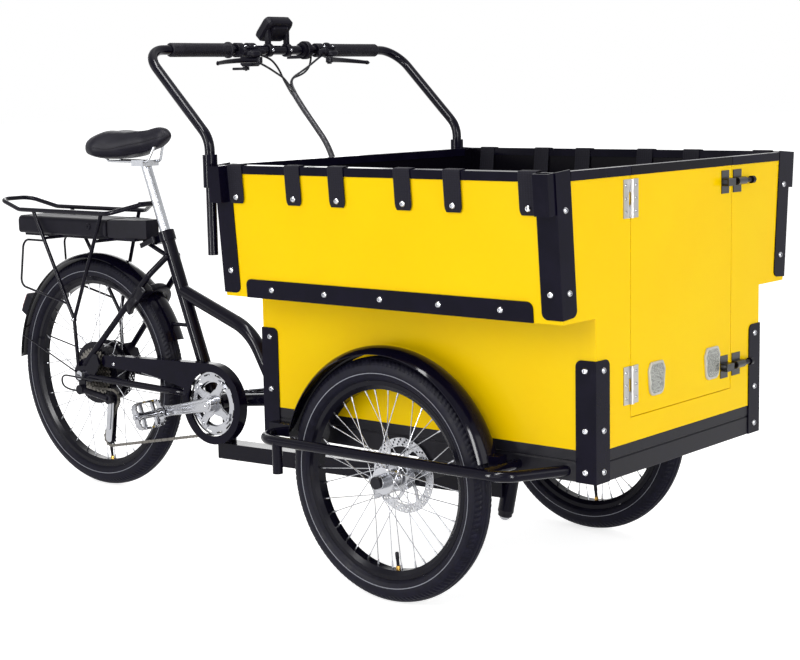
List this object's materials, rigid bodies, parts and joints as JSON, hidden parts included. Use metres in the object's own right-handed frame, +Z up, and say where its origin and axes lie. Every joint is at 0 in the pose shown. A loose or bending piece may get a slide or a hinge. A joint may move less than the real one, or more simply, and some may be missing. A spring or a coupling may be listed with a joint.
{
  "type": "cargo tricycle",
  "caption": "Front-loading pedal-assist cargo tricycle: a stepped box between two wheels with a front door, steered by a bar on the box, pivoting on a frame with saddle, drive and rack.",
  "frame": {"origin": "on the ground under the middle of the length and width", "axes": "+X forward towards the box, +Y to the rider's left, +Z up"},
  "size_m": [2.178, 0.9452, 1.2331],
  "materials": {
    "frame_enamel": "satin black powder coat",
    "yellow_board": "bright yellow semi-gloss panel coating",
    "black_trim": "gloss black",
    "satin_grey": "dark grey satin powder coat",
    "tyre_rubber": "matte black",
    "rim_alloy": "black anodised",
    "stainless": "bright stainless",
    "alloy": "satin silver",
    "motor_black": "satin black",
    "chain_steel": "oiled steel",
    "plastic_black": "matte black",
    "rubber_black": "matte black",
    "saddle_cover": "matte black sewn cover",
    "webbing": "black woven webbing",
    "lamp_red": "clear red",
    "reflector_amber": "pale reflector",
    "floor_board": "dark film-faced board",
    "kingpin_steel": "satin black"
  },
  "bodies": {
    "rear_frame": {"main_frame": "frame_enamel", "rear_stays": "frame_enamel", "headset_cups": "kingpin_steel", "chain_case": "black_trim", "chain": "chain_steel", "rear_mudguard": "black_trim", "rear_rack": "frame_enamel", "battery_pack": "plastic_black", "tail_light": "lamp_red", "rear_axle": "stainless", "rear_brake_caliper": "motor_black", "derailleur": "motor_black", "gear_cable": "rubber_black"},
    "cargo_module": {"front_axle": "kingpin_steel", "base_frame": "satin_grey", "floor_and_benches": "floor_board", "box_panels": "yellow_board", "box_trims": "black_trim", "corner_sockets": "satin_grey", "panel_screws": "stainless", "harness_straps": "webbing", "front_fenders": "black_trim", "guard_rails": "frame_enamel", "front_brake_calipers": "motor_black", "jamb_fittings": "stainless", "cable_loom": "rubber_black"},
    "front_wheel_right": {"front_tyre_right": "tyre_rubber", "front_rim_right": "rim_alloy", "front_spokes_right": "stainless", "front_hub_right": "alloy"},
    "front_wheel_left": {"front_tyre_left": "tyre_rubber", "front_rim_left": "rim_alloy", "front_spokes_left": "stainless", "front_hub_left": "alloy"},
    "rear_wheel": {"rear_tyre": "tyre_rubber", "rear_rim": "rim_alloy", "rear_spokes": "stainless", "rear_hub_motor": "motor_black"},
    "crankset": {"crank_arms": "alloy", "chainring": "chain_steel"},
    "right_pedal": {"pedal_right": "plastic_black"},
    "left_pedal": {"pedal_left": "plastic_black"},
    "cassette_stack": {"cassette": "chain_steel"},
    "upper_jockey": {"upper_jockey_wheel": "plastic_black"},
    "lower_jockey": {"lower_jockey_wheel": "plastic_black"},
    "seat": {"seat_post": "alloy", "saddle": "saddle_cover"},
    "seat_clamp": {"seat_clamp_lever": "alloy"},
    "handlebar_assembly": {"handlebar": "frame_enamel", "handlebar_grips": "rubber_black", "bar_controls": "plastic_black"},
    "right_brake_lever": {"brake_lever_right": "motor_black"},
    "left_brake_lever": {"brake_lever_left": "motor_black"},
    "gear_lever": {"shift_lever": "plastic_black"},
    "throttle": {"throttle_lever": "plastic_black"},
    "door": {"door_panel": "yellow_board", "door_fittings": "stainless", "door_reflectors": "reflector_amber"},
    "upper_bolt": {"upper_latch_bolt": "stainless"},
    "lower_bolt": {"lower_latch_bolt": "stainless"}
  },
  "joints": [
    {"name": "steering_pivot", "type": "hinge", "parent": "rear_frame", "child": "cargo_module", "pos_m": [0.627, 0, 0.16], "axis": [0.2079, 0, 0.9781], "range_deg": [-35, 35]},
    {"name": "front_wheel_right_spin", "type": "hinge", "parent": "cargo_module", "child": "front_wheel_right", "pos_m": [0.595, -0.37, 0.258], "axis": [0, 1, 0], "continuous": true},
    {"name": "front_wheel_left_spin", "type": "hinge", "parent": "cargo_module", "child": "front_wheel_left", "pos_m": [0.595, 0.37, 0.258], "axis": [0, 1, 0], "continuous": true},
    {"name": "rear_wheel_spin", "type": "hinge", "parent": "rear_frame", "child": "rear_wheel", "pos_m": [-0.739, 0, 0.3085], "axis": [0, 1, 0], "continuous": true},
    {"name": "crank_spin", "type": "hinge", "parent": "rear_frame", "child": "crankset", "pos_m": [-0.255, 0, 0.278], "axis": [0, 1, 0], "continuous": true},
    {"name": "pedal_right_spin", "type": "hinge", "parent": "crankset", "child": "right_pedal", "pos_m": [-0.41639, -0.127, 0.24369], "axis": [0, 1, 0], "continuous": true},
    {"name": "pedal_left_spin", "type": "hinge", "parent": "crankset", "child": "left_pedal", "pos_m": [-0.09361, 0.127, 0.3123], "axis": [0, 1, 0], "continuous": true},
    {"name": "cassette_spin", "type": "hinge", "parent": "rear_frame", "child": "cassette_stack", "pos_m": [-0.739, -0.045, 0.3085], "axis": [0, 1, 0], "continuous": true},
    {"name": "upper_jockey_spin", "type": "hinge", "parent": "rear_frame", "child": "upper_jockey", "pos_m": [-0.645, -0.047, 0.2505], "axis": [0, 1, 0], "continuous": true},
    {"name": "lower_jockey_spin", "type": "hinge", "parent": "rear_frame", "child": "lower_jockey", "pos_m": [-0.661, -0.047, 0.1425], "axis": [0, 1, 0], "continuous": true},
    {"name": "seat_post_slide", "type": "slide", "parent": "rear_frame", "child": "seat", "axis": [-0.3567, 0, 0.9342], "range_m": [-0.1, 0.06]},
    {"name": "seat_clamp_open", "type": "hinge", "parent": "rear_frame", "child": "seat_clamp", "pos_m": [-0.49089, -0.019, 0.6768], "axis": [-0.3567, 0, 0.9342], "range_deg": [0, 100]},
    {"name": "handlebar_slide", "type": "slide", "parent": "cargo_module", "child": "handlebar_assembly", "axis": [0, 0, 1], "range_m": [0, 0.1], "deforming": ["cable_loom"]},
    {"name": "brake_right_squeeze", "type": "hinge", "parent": "handlebar_assembly", "child": "right_brake_lever", "pos_m": [0.009, -0.122, 1.128], "axis": [0, 0, -1], "range_deg": [0, 12], "stiffness_Nm_per_rad": 0.6},
    {"name": "brake_left_squeeze", "type": "hinge", "parent": "handlebar_assembly", "child": "left_brake_lever", "pos_m": [0.009, 0.122, 1.128], "axis": [0, 0, 1], "range_deg": [0, 12], "stiffness_Nm_per_rad": 0.6},
    {"name": "shift_push", "type": "hinge", "parent": "handlebar_assembly", "child": "gear_lever", "pos_m": [-0.057, -0.098, 1.11], "axis": [0, 0, 1], "range_deg": [0, 25], "stiffness_Nm_per_rad": 0.2},
    {"name": "throttle_press", "type": "hinge", "parent": "handlebar_assembly", "child": "throttle", "pos_m": [-0.043, 0.079, 1.152], "axis": [0, -1, 0], "range_deg": [0, 30], "stiffness_Nm_per_rad": 0.2},
    {"name": "door_swing", "type": "hinge", "parent": "cargo_module", "child": "door", "pos_m": [1.0753, -0.1965, 0.66], "axis": [0, 0, -1], "range_deg": [0, 150]},
    {"name": "upper_bolt_slide", "type": "slide", "parent": "cargo_module", "child": "upper_bolt", "axis": [0, -1, 0], "range_m": [0, 0.024]},
    {"name": "lower_bolt_slide", "type": "slide", "parent": "cargo_module", "child": "lower_bolt", "axis": [0, -1, 0], "range_m": [0, 0.024]}
  ],
  "couplings": [
    {"joint": "cassette_spin", "follows": "crank_spin", "ratio": 2.1111},
    {"joint": "upper_jockey_spin", "follows": "crank_spin", "ratio": -3.4545},
    {"joint": "lower_jockey_spin", "follows": "crank_spin", "ratio": 3.4545}
  ]
}
